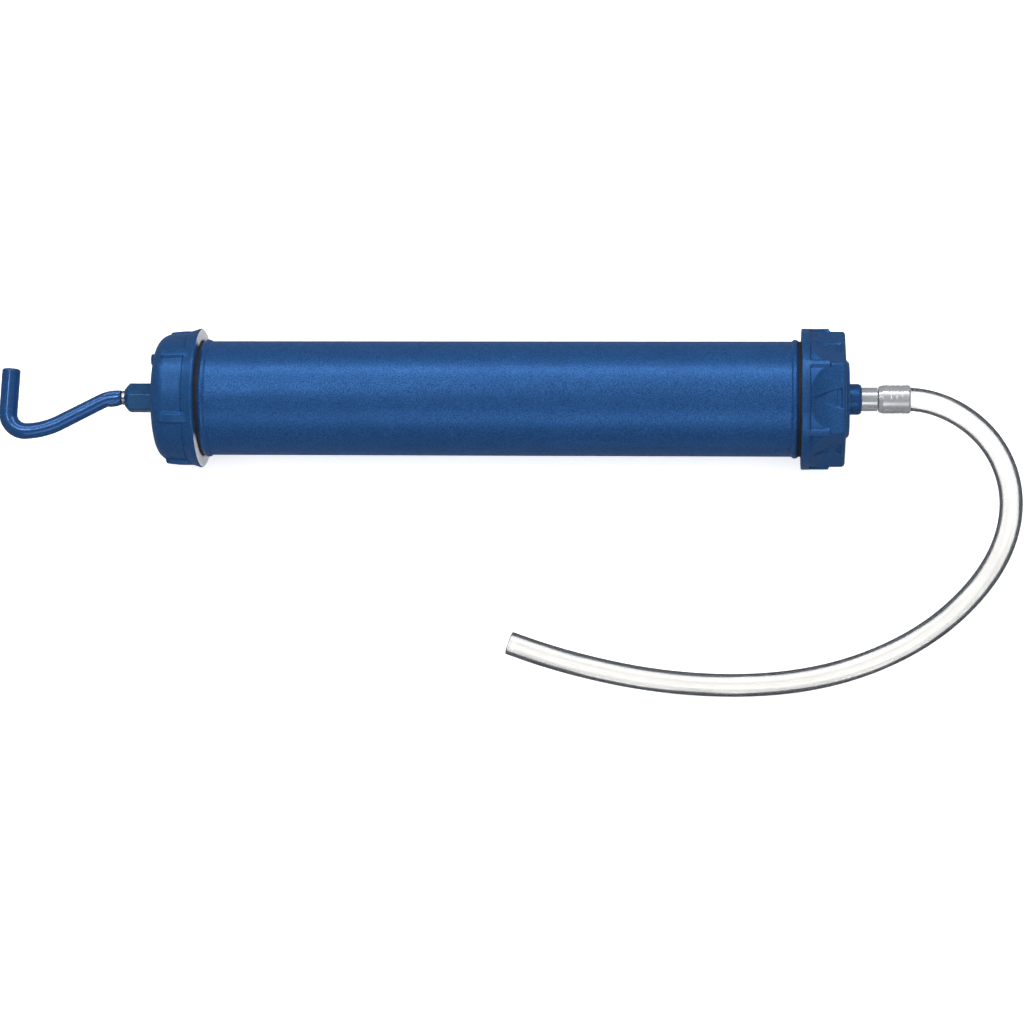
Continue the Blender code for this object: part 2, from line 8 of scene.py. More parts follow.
import bmesh
import bpy
import numpy as np
from mathutils import Euler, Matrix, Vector


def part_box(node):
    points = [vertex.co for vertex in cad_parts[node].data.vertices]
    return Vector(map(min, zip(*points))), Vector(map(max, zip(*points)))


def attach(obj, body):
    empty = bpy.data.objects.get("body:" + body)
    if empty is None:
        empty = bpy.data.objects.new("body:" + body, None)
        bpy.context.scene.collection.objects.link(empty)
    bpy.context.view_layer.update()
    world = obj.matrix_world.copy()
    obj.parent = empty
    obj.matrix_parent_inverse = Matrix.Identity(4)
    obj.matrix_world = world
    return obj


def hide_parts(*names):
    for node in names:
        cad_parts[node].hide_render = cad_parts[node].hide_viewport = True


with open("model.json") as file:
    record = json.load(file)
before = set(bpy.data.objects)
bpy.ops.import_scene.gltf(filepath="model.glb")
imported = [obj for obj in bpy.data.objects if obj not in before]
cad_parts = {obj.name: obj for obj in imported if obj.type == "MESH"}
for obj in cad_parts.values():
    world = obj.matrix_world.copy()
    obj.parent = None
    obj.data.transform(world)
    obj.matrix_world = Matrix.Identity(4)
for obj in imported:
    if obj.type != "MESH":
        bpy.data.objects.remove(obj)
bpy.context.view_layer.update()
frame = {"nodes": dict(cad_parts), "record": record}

MM = 0.001
BODY_OF = {node: body for body, nodes in frame["record"]["behaviour"]["bodies"].items() for node in nodes}


def box_mm(node):
    low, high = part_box(node)
    return np.array(low) / MM, np.array(high) / MM


# Driving places and sizes, read from the frame
REAR_FACE = box_mm("rear_cap")[1][0]            # open faces of the two caps
FRONT_FACE = box_mm("front_cap")[0][0]
FLANGE_R = box_mm("front_cap")[1][2] / 2
AXIS_Z = FLANGE_R
BARREL_START, BARREL_END = box_mm("barrel")[0][0], box_mm("barrel")[1][0]
BEAD_R = box_mm("barrel")[1][2] - AXIS_Z
ROD_END, ROD_FRONT = box_mm("piston_rod")[0][0], box_mm("piston_rod")[1][0]
ROD_R = box_mm("piston_rod")[1][2] - AXIS_Z
HANDLE_START = box_mm("pull_handle")[1][0]
FERRULE_START, FERRULE_END = box_mm("hose_ferrule")[0][0], box_mm("hose_ferrule")[1][0]
FERRULE_R = box_mm("hose_ferrule")[1][2] - AXIS_Z
MIDDLE = (REAR_FACE + FRONT_FACE) / 2

# Sizes that repeat the CAD's
BARREL_R = 25.4
BARREL_WALL = 1.2
CAP_BORE_R = 25.7
CAP_END_WALL = 4.0
REAR_CAP_LENGTH = 20.0
FRONT_CAP_LENGTH = 19.3
THREAD_HOLE_R = 3.3
ROD_HOLE_R = 3.4
ROD_THREAD_R = 2.95
NIPPLE_BORE_R = 1.9
NIPPLE_HOLE_R = 4.3
GASKET_BORE_R = 22.8
HOSE_R = 5.15
HOSE_BORE_R = 3.5
HOSE_ROUTE = (                                  # from the ferrule's mouth, X from the barrel's middle
    (181.5, 0.0, 31.1), (193.7, -2.4, 30.3), (205.2, -8.0, 28.2), (214.8, -16.2, 25.3), (221.7, -26.6, 21.7),
    (225.3, -38.4, 17.9), (225.3, -50.8, 14.1), (222.0, -62.8, 10.6), (215.4, -74.8, 7.6), (206.6, -85.5, 5.7),
    (196.3, -95.0, 5.3), (183.2, -104.1, 5.3), (167.1, -112.2, 5.3), (149.2, -118.4, 5.3), (129.6, -122.4, 5.3),
    (107.7, -124.2, 5.3), (84.7, -123.7, 5.3), (60.9, -121.0, 5.3), (37.3, -116.2, 5.3), (20.0, -111.5, 5.3),
    (3.8, -106.1, 5.3),
)


# --- Camera and light -----------------------------------------------------------------------------------


def add_camera():
    """Above the pump and a little in front of it, as in the photograph."""
    data = bpy.data.cameras.new("camera")
    data.lens = 112.5
    data.sensor_width = 36
    camera = bpy.data.objects.new("camera", data)
    camera.location = (0.134, -0.2636, 1.4234)
    camera.rotation_euler = Euler(math.radians(turn) for turn in (8.73, 4.2, 0.92))
    bpy.context.scene.collection.objects.link(camera)
    bpy.context.scene.camera = camera


def add_light(name, place, size, watts, glossy=True, diffuse=True):
    """A rectangular lamp that faces the pump's axis. glossy: it shows in reflections; diffuse: it lights."""
    data = bpy.data.lights.new(name, "AREA")
    data.shape = "RECTANGLE"
    data.size, data.size_y = size
    data.energy = watts
    light = bpy.data.objects.new(name, data)
    light.location = place
    facing = Vector((place[0], 0, 0.03)) - Vector(place)
    light.rotation_euler = facing.to_track_quat("-Z", "Y").to_euler()
    light.visible_glossy = glossy
    light.visible_diffuse = diffuse
    bpy.context.scene.collection.objects.link(light)


def add_studio():
    """Even light from above, and long panels whose reflections draw the round pieces."""
    add_light("far_strip", (0.05, 0.78, 0.71), (2.2, 0.09), 5.0, diffuse=False)
    add_light("far_panel", (0.05, 0.85, 1.05), (2.4, 0.7), 4.5, diffuse=False)
    add_light("near_panel", (0.42, -1.1, 0.95), (1.7, 0.6), 4.5, diffuse=False)
    add_light("small_lamp", (-0.42, 0.28, 1.5), (0.1, 0.5), 2.2, diffuse=False)
    add_light("ceiling", (0.0, 0.3, 1.6), (2.4, 2.2), 42, glossy=False)
    world = bpy.data.worlds.new("studio")
    world.use_nodes = True
    background = world.node_tree.nodes["Background"]
    background.inputs["Color"].default_value = (0.92, 0.96, 1.0, 1)
    background.inputs["Strength"].default_value = 0.2
    bpy.context.scene.world = world
    bpy.context.scene.view_settings.view_transform = "Standard"
    reach = 3.0
    corners = [(-reach, -reach, 0), (reach, -reach, 0), (reach, reach, 0), (-reach, reach, 0)]
    mesh = bpy.data.meshes.new("floor")
    mesh.from_pydata(corners, [], [(0, 1, 2, 3)])
    floor = bpy.data.objects.new("floor", mesh)
    bpy.context.scene.collection.objects.link(floor)
    floor.visible_glossy = False
    glow = {"Emission_Color": (1, 1, 1, 1), "Emission_Strength": 0.6}
    paper = Look("floor_paper", (0.94, 0.94, 0.94), roughness=0.9, **glow)
    floor.data.materials.append(paper.material)


# --- Materials ------------------------------------------------------------------------------------------


class Look:
    """A Principled material with object-space procedural textures wired into it."""

    def __init__(self, name, color, metallic=0.0, roughness=0.5, **sockets):
        self.material = bpy.data.materials.new(name)
        self.material.use_nodes = True
        self.nodes = self.material.node_tree.nodes
        self.links = self.material.node_tree.links
        self.shader = self.nodes["Principled BSDF"]
        self.shader.inputs["Base Color"].default_value = (*color, 1)
        self.shader.inputs["Metallic"].default_value = metallic
        self.shader.inputs["Roughness"].default_value = roughness
        for socket, value in sockets.items():
            self.shader.inputs[socket.replace("_", " ")].default_value = value
        self.place = self.nodes.new("ShaderNodeTexCoord").outputs["Object"]

    def noise(self, scale, detail=2.0, roughness=0.5, stretch=(1, 1, 1)):
        mapping = self.nodes.new("ShaderNodeMapping")
        mapping.inputs["Scale"].default_value = stretch
        noise = self.nodes.new("ShaderNodeTexNoise")
        noise.inputs["Scale"].default_value = scale
        noise.inputs["Detail"].default_value = detail
        noise.inputs["Roughness"].default_value = roughness
        self.links.new(self.place, mapping.inputs["Vector"])
        self.links.new(mapping.outputs["Vector"], noise.inputs["Vector"])
        return noise.outputs["Fac"]

    def rings(self, pitch):
        """Fine bands across the X axis, pitch metres apart."""
        wave = self.nodes.new("ShaderNodeTexWave")
        wave.bands_direction = "X"
        wave.inputs["Scale"].default_value = 2 * math.pi / (20 * pitch)
        wave.inputs["Distortion"].default_value = 1.5
        wave.inputs["Detail"].default_value = 2.0
        self.links.new(self.place, wave.inputs["Vector"])
        return wave.outputs["Fac"]

    def spread(self, fac, low, high, to_low, to_high):
        """fac from low to high, mapped onto the range to_low to to_high."""
        remap = self.nodes.new("ShaderNodeMapRange")
        for socket, value in zip(("From Min", "From Max", "To Min", "To Max"), (low, high, to_low, to_high)):
            remap.inputs[socket].default_value = value
        self.links.new(fac, remap.inputs["Value"])
        return remap.outputs["Result"]

    def blend_colors(self, fac, first, second):
        """first and second are colours or sockets."""
        mix = self.nodes.new("ShaderNodeMix")
        mix.data_type = "RGBA"
        for socket, value in ((mix.inputs[0], fac), (mix.inputs[6], first), (mix.inputs[7], second)):
            if isinstance(value, bpy.types.NodeSocket):
                self.links.new(value, socket)
            elif isinstance(value, tuple):
                socket.default_value = (*value, 1)
            else:
                socket.default_value = value
        return mix.outputs[2]

    def sum_up(self, operation, *values):
        """A Math node over sockets and numbers."""
        node = self.nodes.new("ShaderNodeMath")
        node.operation = operation
        for socket, value in zip(node.inputs, values):
            if isinstance(value, bpy.types.NodeSocket):
                self.links.new(value, socket)
            else:
                socket.default_value = value
        return node.outputs[0]

    def facing(self, direction=None):
        """1 where the surface, or direction, is seen end on, 0 where it is seen from the side."""
        weight = self.nodes.new("ShaderNodeLayerWeight")
        weight.inputs["Blend"].default_value = 0.5
        if direction:
            self.links.new(direction, weight.inputs["Normal"])
        return self.sum_up("SUBTRACT", 1, weight.outputs["Facing"])

    def edges(self):
        """1 on convex edges, 0 elsewhere."""
        pointiness = self.nodes.new("ShaderNodeNewGeometry").outputs["Pointiness"]
        return self.spread(pointiness, 0.54, 0.62, 0, 1)

    def cavities(self):
        """1 in concave corners, 0 elsewhere."""
        pointiness = self.nodes.new("ShaderNodeNewGeometry").outputs["Pointiness"]
        return self.spread(pointiness, 0.47, 0.42, 0, 1)

    def bump(self, *layers):
        """Layers of (height socket, depth in metres)."""
        normal = None
        for height, depth in layers:
            bump = self.nodes.new("ShaderNodeBump")
            bump.inputs["Strength"].default_value = 1.0
            bump.inputs["Distance"].default_value = depth
            self.links.new(height, bump.inputs["Height"])
            if normal:
                self.links.new(normal, bump.inputs["Normal"])
            normal = bump.outputs["Normal"]
        self.links.new(normal, self.shader.inputs["Normal"])

    def wire(self, socket, source):
        self.links.new(source, self.shader.inputs[socket])


def enamel(name, color, speckle, roughness, grain_depth, metallic=0.45, gloss=0.15):
    """Sprayed metallic blue enamel: fine mottling, slight orange peel, and painted shade darkening it in
    concave corners.
    """
    look = Look(name, color, metallic=metallic, roughness=roughness, Specular_IOR_Level=gloss)
    dark = tuple(c * (1 - speckle) for c in color)
    light = tuple(min(1, c * (1 + speckle) + 0.02 * speckle) for c in color)
    fine = look.spread(look.noise(2100, 1.0, 0.5), 0.35, 0.65, 0, 1)
    mottled = look.blend_colors(fine, dark, light)
    cloudy = look.spread(look.noise(45, 3.0), 0.3, 0.7, 0, 0.3)
    mottled = look.blend_colors(cloudy, mottled, tuple(c * 0.75 for c in color))
    edge = look.spread(look.edges(), 0, 1, 0, 0.35)
    worn = look.blend_colors(edge, mottled, tuple(min(1, c * 1.8 + 0.02) for c in color))
    # painted shade: the colour darkens to 15 % of itself in concave corners, where shade falls
    painted_corner_shade = look.spread(look.cavities(), 0, 1, 0, 0.85)
    look.wire("Base Color", look.blend_colors(painted_corner_shade, worn, tuple(c * 0.15 for c in color)))
    look.wire("Roughness", look.spread(look.noise(300, 2.0), 0.3, 0.7, roughness - 0.05, roughness + 0.08))
    look.bump((look.noise(260, 2.0), grain_depth * 2.5), (look.noise(2100, 2.0, 0.5), grain_depth * 0.6))
    return look.material


def plated(name, color, roughness, ring_pitch, ring_depth, metallic=1.0):
    """Bright turned or drawn metal with fine lathe rings, faint smears and small pits."""
    look = Look(name, color, metallic=metallic, roughness=roughness)
    smear = look.noise(120, 3.0, 0.6, stretch=(0.35, 1, 1))
    dull = tuple(c * 0.78 for c in color)
    look.wire("Base Color", look.blend_colors(look.spread(smear, 0.4, 0.7, 0, 1), color, dull))
    look.wire("Roughness", look.spread(smear, 0.3, 0.7, roughness - 0.07, roughness + 0.12))
    look.bump((look.rings(ring_pitch), ring_depth), (look.noise(2500, 2.0), 0.000004))
    return look.material


def rim_painted_reflection(name, paint):
    """Open face of a painted casting's rim: a painted reflection of the table, pale, at the pump's two sides,
    and darker blue in between.
    """
    # pale colour of the painted reflection
    color = (0.8, 0.8, 0.83)
    look = Look(name, color, metallic=0.1, roughness=0.45)
    parts = look.nodes.new("ShaderNodeSeparateXYZ")
    look.links.new(look.place, parts.inputs["Vector"])
    aside = look.sum_up("ABSOLUTE", parts.outputs["Y"])
    ragged = look.sum_up("ADD", aside, look.spread(look.noise(260, 3.0), 0.3, 0.7, -0.001, 0.001))
    # painted reflection: pale where the face lies more than about 20 mm to either side of the axis along Y
    painted_reflection = look.spread(ragged, 0.0195, 0.0225, 0, 1)
    look.wire("Base Color", look.blend_colors(painted_reflection, paint, color))
    look.wire("Roughness", look.spread(look.noise(300, 2.0), 0.3, 0.7, 0.38, 0.52))
    look.bump((look.noise(900, 2.0), 0.00001))
    return look.material


def moulded(name, color, roughness, grain, depth):
    """Rubber, felt or fibre: a dull solid colour with its own grain."""
    look = Look(name, color, roughness=roughness)
    fine = look.noise(grain, 4.0, 0.65)
    pale = tuple(min(1, c * 1.7 + 0.01) for c in color)
    look.wire("Base Color", look.blend_colors(look.spread(fine, 0.35, 0.75, 0, 1), color, pale))
    look.wire("Roughness", look.spread(fine, 0.3, 0.7, roughness - 0.1, min(1, roughness + 0.1)))
    look.bump((fine, depth))
    return look.material


def oiled_leather():
    """Cup leather: brown with darker oil stains and a pebbled grain."""
    color = (0.21, 0.1, 0.045)
    look = Look("oiled_leather", color, roughness=0.5)
    stain = look.spread(look.noise(90, 4.0, 0.6), 0.35, 0.7, 0, 0.8)
    grain = look.nodes.new("ShaderNodeTexVoronoi")
    grain.inputs["Scale"].default_value = 1100
    look.links.new(look.place, grain.inputs["Vector"])
    look.wire("Base Color", look.blend_colors(stain, color, (0.07, 0.03, 0.015)))
    look.wire("Roughness", look.spread(stain, 0, 0.8, 0.58, 0.34))
    look.bump((grain.outputs["Distance"], 0.00012), (look.noise(500, 4.0, 0.7), 0.0001))
    return look.material


def clear_vinyl(name, painted_refraction_color):
    """Clear hose wall, faintly milky, whose colour turns to the given edge colour at the two edges of the hose,
    a painted refraction of the surroundings. The mesh says which way the hose runs, so looking along it doesn't
    count as an edge."""
    color = (0.95, 0.945, 0.93)
    look = Look(name, color, roughness=0.05, IOR=1.5, Transmission_Weight=1.0)
    along = look.nodes.new("ShaderNodeAttribute")
    along.attribute_name = "along"
    down_tube = look.facing(along.outputs["Vector"])
    squared = look.sum_up("MULTIPLY", down_tube, down_tube)
    across = look.sum_up("SQRT", look.sum_up("SUBTRACT", 1.0001, squared))
    upright = look.sum_up("DIVIDE", look.facing(), across)
    wavy = look.spread(look.noise(30, 2.0), 0.3, 0.7, -0.04, 0.04)
    # painted refraction: where the wall is seen edge-on the colour turns to the given edge colour
    edge = look.spread(look.sum_up("ADD", upright, wavy), 0.86, 0.7, 0, 1)
    look.wire("Base Color", look.blend_colors(edge, color, painted_refraction_color))
    look.wire("Roughness", look.spread(look.noise(160, 3.0, 0.55), 0.3, 0.7, 0.03, 0.12))
    look.bump((look.noise(70, 2.0), 0.0002))
    return look.material


# --- Mesh helpers ---------------------------------------------------------------------------------------


def rounded(corners, radius, steps=4, closed=True):
    """The line through corners (x, r) or (x, r, its own radius), each corner turned into a small curve."""
    made = []
    count = len(corners)
    for i, (x, r, *own) in enumerate(corners):
        size = own[0] if own else radius
        here = np.array((x, r), float)
        if size == 0 or (not closed and i in (0, count - 1)):
            made.append(tuple(here))
            continue
        before = np.array(corners[i - 1][:2], float) - here
        after = np.array(corners[(i + 1) % count][:2], float) - here
        start = here + before * min(size / np.linalg.norm(before), 0.45)
        end = here + after * min(size / np.linalg.norm(after), 0.45)
        for share in np.linspace(0, 1, steps + 1):
            made.append(tuple((1 - share) ** 2 * start + 2 * share * (1 - share) * here + share**2 * end))
    return made


def filled_in(points, step):
    """The same line with points added so that none are further apart than step."""
    made = [points[0]]
    for a, b in zip(points, points[1:]):
        count = max(1, math.ceil(math.dist(a, b) / step))
        made += [tuple(np.array(a) + (np.array(b) - np.array(a)) * k / count) for k in range(1, count + 1)]
    return made


def arc(center, radius, start, end, steps):
    """Points (x, r) on an arc in the section, angles in degrees from +X towards +r."""
    turns = np.radians(np.linspace(start, end, steps + 1))
    return [(center[0] + radius * math.cos(t), center[1] + radius * math.sin(t)) for t in turns]


def smooth(share):
    share = np.clip(share, 0, 1)
    return share * share * (3 - 2 * share)


def skin(name, grid, closed):
    """A mesh over a grid of points (rows, columns, 3) in millimetres. Columns always join up. Rows join up if
    closed, and otherwise the first and the last row are filled in."""
    rows, columns = grid.shape[:2]
    shape = bmesh.new()
    verts = [shape.verts.new(point * MM) for point in grid.reshape(-1, 3)]
    for i in range(rows if closed else rows - 1):
        first, second = i * columns, (i + 1) % rows * columns
        for j in range(columns):
            k = (j + 1) % columns
            shape.faces.new((verts[first + j], verts[first + k], verts[second + k], verts[second + j]))
    if not closed:
        shape.faces.new(verts[:columns])
        shape.faces.new(verts[-columns:])
    bmesh.ops.remove_doubles(shape, verts=shape.verts, dist=1e-7)
    bmesh.ops.recalc_face_normals(shape, faces=shape.faces)
    mesh = bpy.data.meshes.new(name)
    shape.to_mesh(mesh)
    shape.free()
    mesh.shade_smooth()
    piece = bpy.data.objects.new(name, mesh)
    bpy.context.scene.collection.objects.link(piece)
    weighted = piece.modifiers.new("even_shading", "WEIGHTED_NORMAL")
    weighted.weight = 50
    return piece


def lathe(name, section, sides, shape=None, x=0.0):
    """A closed body round the pump's axis. section is (x, r) points round the wall. shape(x, r, angle) may
    return other x and r for arrays of them; angles are in radians, from +Z towards +Y."""
    along, radius = np.array([point[:2] for point in section], float).T
    angles = np.arange(sides) * 2 * math.pi / sides
    along = np.repeat(along[:, None], sides, axis=1)
    radius = np.repeat(radius[:, None], sides, axis=1)
    if shape:
        along, radius = shape(along, radius, np.broadcast_to(angles, along.shape))
    grid = np.stack([along + x, radius * np.sin(angles), AXIS_Z + radius * np.cos(angles)], axis=2)
    return skin(name, grid, closed=True)


def sweep(centers, sides, radius):
    """The points of a tube along centers, a row for each. radius(run, angle) gives its outside; angle 0 is at
    the side and 90 degrees is up."""
    centers = np.array(centers, float)
    along = np.gradient(centers, axis=0)
    along /= np.linalg.norm(along, axis=1)[:, None]
    side = np.cross((0, 0, 1), along)
    side /= np.linalg.norm(side, axis=1)[:, None]
    over = np.cross(along, side)
    runs = np.append(0, np.cumsum(np.linalg.norm(np.diff(centers, axis=0), axis=1)))
    angles = np.arange(sides) * 2 * math.pi / sides
    reach = radius(runs[:, None], angles[None, :]) * np.ones((len(centers), sides))
    grid = centers[:, None] + reach[..., None] * (
        np.cos(angles)[None, :, None] * side[:, None] + np.sin(angles)[None, :, None] * over[:, None]
    )
    return grid


def dress(piece, node, look):
    """Gives the piece its material and its body, and hides the CAD node that it stands for."""
    piece.data.materials.append(look)
    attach(piece, BODY_OF[node])
    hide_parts(node)
    return piece


# --- Barrel and caps ------------------------------------------------------------------------------------


def make_barrel(look, gap_shade):
    """Painted tube with a rolled bead near each cap; between bead and cap the tube is painted near-black, a
    painted shade in the gap.
    """
    bead_from_cap, bead_width = 1.4, 2.6
    # how far the painted shade of the gap reaches out from each cap, and the spacing of the barrel's rings
    rear_shade_width, front_shade_width, ring_step = 0.8, 1.4, 9.0
    bead_height = BEAD_R - BARREL_R
    foot = bead_width / 2 + 0.25
    rear_bead = REAR_FACE + bead_from_cap + bead_width / 2
    front_bead = FRONT_FACE - bead_from_cap - bead_width / 2

    def bead(middle):
        lifts = [(offset, math.cos(math.pi / 2 * min(1, abs(offset) / foot)) ** 0.8) for offset in offsets]
        return [(middle + offset, BARREL_R + bead_height * lift, 0) for offset, lift in lifts]

    offsets = np.linspace(-foot, foot, 19)
    plain_end = front_bead - foot - 0.5
    plain = [(x, BARREL_R, 0) for x in (*np.arange(rear_bead + foot + 0.5, plain_end, ring_step), plain_end)]
    section = [(BARREL_START, BARREL_R), *bead(rear_bead), *plain, *bead(front_bead), (BARREL_END, BARREL_R)]
    section += [(BARREL_END, BARREL_R - BARREL_WALL), (BARREL_START, BARREL_R - BARREL_WALL)]
    barrel = dress(lathe("barrel_tube", rounded(section, 0.3), 256), "barrel", look)
    barrel.data.materials.append(gap_shade)
    # faces under the caps and just outside them are painted near-black: painted shade in the gap between bead
    # and cap
    for face in barrel.data.polygons:
        x = face.center.x / MM
        face.material_index = int(x < REAR_FACE + rear_shade_width or x > FRONT_FACE - front_shade_width)


def off_centre(angle, first, count=6):
    """Distance in radians from the nearest of count evenly spaced directions."""
    step = 2 * math.pi / count
    return np.abs((angle - first + step / 2) % step - step / 2)


def make_rear_cap(look, painted_rim_reflection):
    """Casting with a flared rim, a fine groove, round-ended ribs, a wide round shoulder and a vent boss. The
    rim's open face carries a painted reflection of the table: pale at the pump's two sides, darker blue
    between."""
    groove_x, rim_foot_x = -5.4, -4.6
    body_r, rib_r, shoulder, draft = 29.1, 30.3, 7.2, 0.6
    first_rib, rib_half, rib_edge = math.radians(32), 2.2, 0.7
    rib_from, rib_to = -13.6, -3.0
    hub_r, hub_reach, gland_r = 10.0, 8.0, 5.7
    boss_r, boss_height = 9.0, 2.0
    vent_from_axis, vent_angle = 19.0, math.radians(52)
    vent_r, vent_height, vent_hole_r, vent_depth = 2.6, 1.7, 0.8, 3.0

    end = -REAR_CAP_LENGTH
    shoulder_r = body_r - draft
    outer = [(0, CAP_BORE_R), (0, FLANGE_R - 0.5), (-0.7, FLANGE_R), (rim_foot_x, body_r + 0.75)]
    outer += [(groove_x + 0.25, body_r + 0.6), (groove_x - 0.1, body_r - 0.35), (groove_x - 0.7, body_r)]
    outer = rounded(outer, 0.35, closed=False)
    outer += arc((end + shoulder, shoulder_r - shoulder), shoulder, 90, 180, 14)
    outer = filled_in(outer, 0.45) + filled_in([(end, shoulder_r - shoulder), (end, boss_r + 0.4)], 0.4)[1:]
    inner = [(end - boss_height, boss_r, 0.5), (end - boss_height, gland_r)]
    hub_x = end + CAP_END_WALL + hub_reach
    inner += [(hub_x, gland_r), (hub_x, hub_r, 0.8), (end + CAP_END_WALL, hub_r)]
    inner.append((end + CAP_END_WALL, CAP_BORE_R))
    section = outer + rounded([(end, boss_r + 0.4), *inner, (0, CAP_BORE_R)], 0.3, closed=False)[1:-1]

    def shape(x, r, angle):
        outside = (r > CAP_BORE_R + 0.2) & (x > end - 0.1)
        across = off_centre(angle, first_rib) * body_r
        past = np.maximum(0, rib_from - x)
        lift = smooth((rib_half - np.hypot(across, past)) / rib_edge + 0.5) * (x < rib_to) * outside
        top = rib_r - 0.09 * np.maximum(0, -x - 9)
        r = np.where(outside, r + lift * np.maximum(0, top - r), r)
        face = (np.abs(x - end) < 0.02) & (r > boss_r + 0.3)
        to_vent = np.hypot(r * np.cos(angle - vent_angle) - vent_from_axis, r * np.sin(angle - vent_angle))
        bump = smooth((vent_r - to_vent) / 0.5 + 0.5) * vent_height
        pit = smooth((vent_hole_r - to_vent) / 0.3 + 0.5) * (vent_height + vent_depth)
        return np.where(face, x - bump + pit, x), r

    cap = dress(lathe("rear_cap_casting", section, 480, shape, REAR_FACE), "rear_cap", look)
    cap.data.materials.append(painted_rim_reflection)
    # the rim's open face takes the painted reflection material
    for face in cap.data.polygons:
        face.material_index = int(face.normal.x > 0.8 and face.center.x / MM > REAR_FACE - 0.4)


def make_front_cap(look):
    """Casting with a rim, narrow ribs, and six scooped flats, each with a shallow fan-shaped recess, that end
    in a hexagonal nose. A low round pad stands on its face under the boss."""
    body_r, flange_width, rib_reach, nose_flat_r, scoop_length, corner = 29.8, 3.5, 12.3, 25.9, 12.0, 1.6
    first_rib, rib_half, rib_edge = math.radians(20.5), 1.5, 0.6
    first_flat = first_rib + math.pi / 6
    pad_r, pad_height = 17.8, 1.8
    boss_r, boss_length, boss_chamfer, seat_r, seat_depth = 6.8, 7.1, 1.2, 5.6, 1.6
    fan_from, fan_to, fan_slope, fan_depth = 5.0, 17.4, 0.42, 0.9
    end = FRONT_CAP_LENGTH
    start_of_corner = end - corner

    def outline(x, angle):
        """Radius of the ribless casting."""
        share = np.clip((x - flange_width) / scoop_length, 0, 1)
        flat = body_r + (1 - (1 - share) ** 2) * (nose_flat_r - body_r)
        return np.minimum(flat / np.cos(off_centre(angle, first_flat)), body_r)

    rim = [(0, CAP_BORE_R), (0, FLANGE_R - 0.3), (0.35, FLANGE_R), (flange_width, FLANGE_R)]
    rim = rounded(rim, 0.25, closed=False)
    side = filled_in([(flange_width + 0.3, body_r), (start_of_corner, body_r)], 0.3)
    tilts = np.linspace(0, math.pi / 2, 7)[1:]
    turn = [(start_of_corner + corner * math.sin(tilt), body_r) for tilt in tilts]
    face = [(end, r) for r in np.linspace(nose_flat_r, pad_r + 0.5, 18)]
    pad_x, boss_x, wall_x = end + pad_height, end + boss_length, end - CAP_END_WALL
    core = [(end, pad_r + 0.5), (end, pad_r, 0.6), (pad_x, pad_r - pad_height, 0.6), (pad_x, boss_r, 0.6)]
    core += [(boss_x - boss_chamfer, boss_r), (boss_x, boss_r - boss_chamfer * 0.6), (boss_x, seat_r)]
    core += [(boss_x - seat_depth, seat_r), (boss_x - seat_depth, NIPPLE_HOLE_R), (wall_x, NIPPLE_HOLE_R)]
    core = rounded([*core, (wall_x, CAP_BORE_R), (0, CAP_BORE_R)], 0.3, closed=False)[1:-1]
    section = [*rim, *side, *turn, *face, *core]
    first_side, first_turn = len(rim), len(rim) + len(side)
    first_face, first_core = first_turn + len(turn), first_turn + len(turn) + len(face)

    def shape(x, r, angle):
        x, r = x.copy(), r.copy()
        rows = slice(first_side, first_turn)
        across = off_centre(angle[rows], first_rib) * body_r
        rib = smooth((rib_half - across) / rib_edge + 0.5) * smooth((rib_reach - x[rows]) / 0.8 + 0.5)
        plain = outline(x[rows], angle[rows])
        beside = off_centre(angle[rows], first_flat) * body_r
        fan = smooth(((x[rows] - fan_from) * fan_slope - beside) / 0.7 + 0.5)
        fan = fan * smooth((fan_to - x[rows]) / 0.8 + 0.5)
        r[rows] = plain + rib * (FLANGE_R - 0.1 - plain) - fan * fan_depth * (x[rows] > fan_from)
        for row, tilt in enumerate(tilts, start=first_turn):
            r[row] = outline(x[row], angle[row]) - corner * (1 - math.cos(tilt))
        rows = slice(first_face, first_core)
        share = (r[rows] - pad_r - 0.5) / (nose_flat_r - pad_r - 0.5)
        edge = outline(x[rows], angle[rows]) - corner
        r[rows] = pad_r + 0.5 + share * (edge - pad_r - 0.5)
        return x, r

    dress(lathe("front_cap_casting", section, 480, shape, FRONT_FACE), "front_cap", look)


# --- Gland, hose fitting and piston ---------------------------------------------------------------------


def hexagon(flats, cone_start=None, cone_end=None, tip_r=None, chamfer=0.5):
    """A shape for lathe: a hexagon, one corner up, chamfered at each end or coned at the low end."""
    def shape(x, r, angle):
        corner_r = flats / 2 / math.cos(math.pi / 6)
        prism = np.minimum(flats / 2 / np.cos(off_centre(angle, math.pi / 6)), corner_r - 0.12)
        low, high = x.min(), x.max()
        limit = flats / 2 + chamfer * 0.4 + np.minimum(x - low, high - x) * 1.7
        if tip_r is not None:
            from_tip = tip_r + (x - cone_end) * (corner_r - tip_r) / (cone_start - cone_end)
            limit = np.minimum(from_tip, flats / 2 + chamfer * 0.4 + (high - x) * 1.7)
        return x, np.where(r > flats / 2 - 0.01, np.minimum(prism, limit), r)
    return shape


def make_nut(node, look):
    """A plain hexagon nut, its size and place from the frame."""
    low, high = box_mm(node)
    flats = high[1] - low[1]
    outer = filled_in([(low[0], flats / 2), (high[0], flats / 2)], 0.25)
    section = [(low[0], THREAD_HOLE_R + 0.4), *outer, (high[0], THREAD_HOLE_R + 0.4)]
    section += [(high[0] - 0.4, THREAD_HOLE_R), (low[0] + 0.4, THREAD_HOLE_R)]
    dress(lathe(f"{node}_hex", section, 120, hexagon(flats)), node, look)


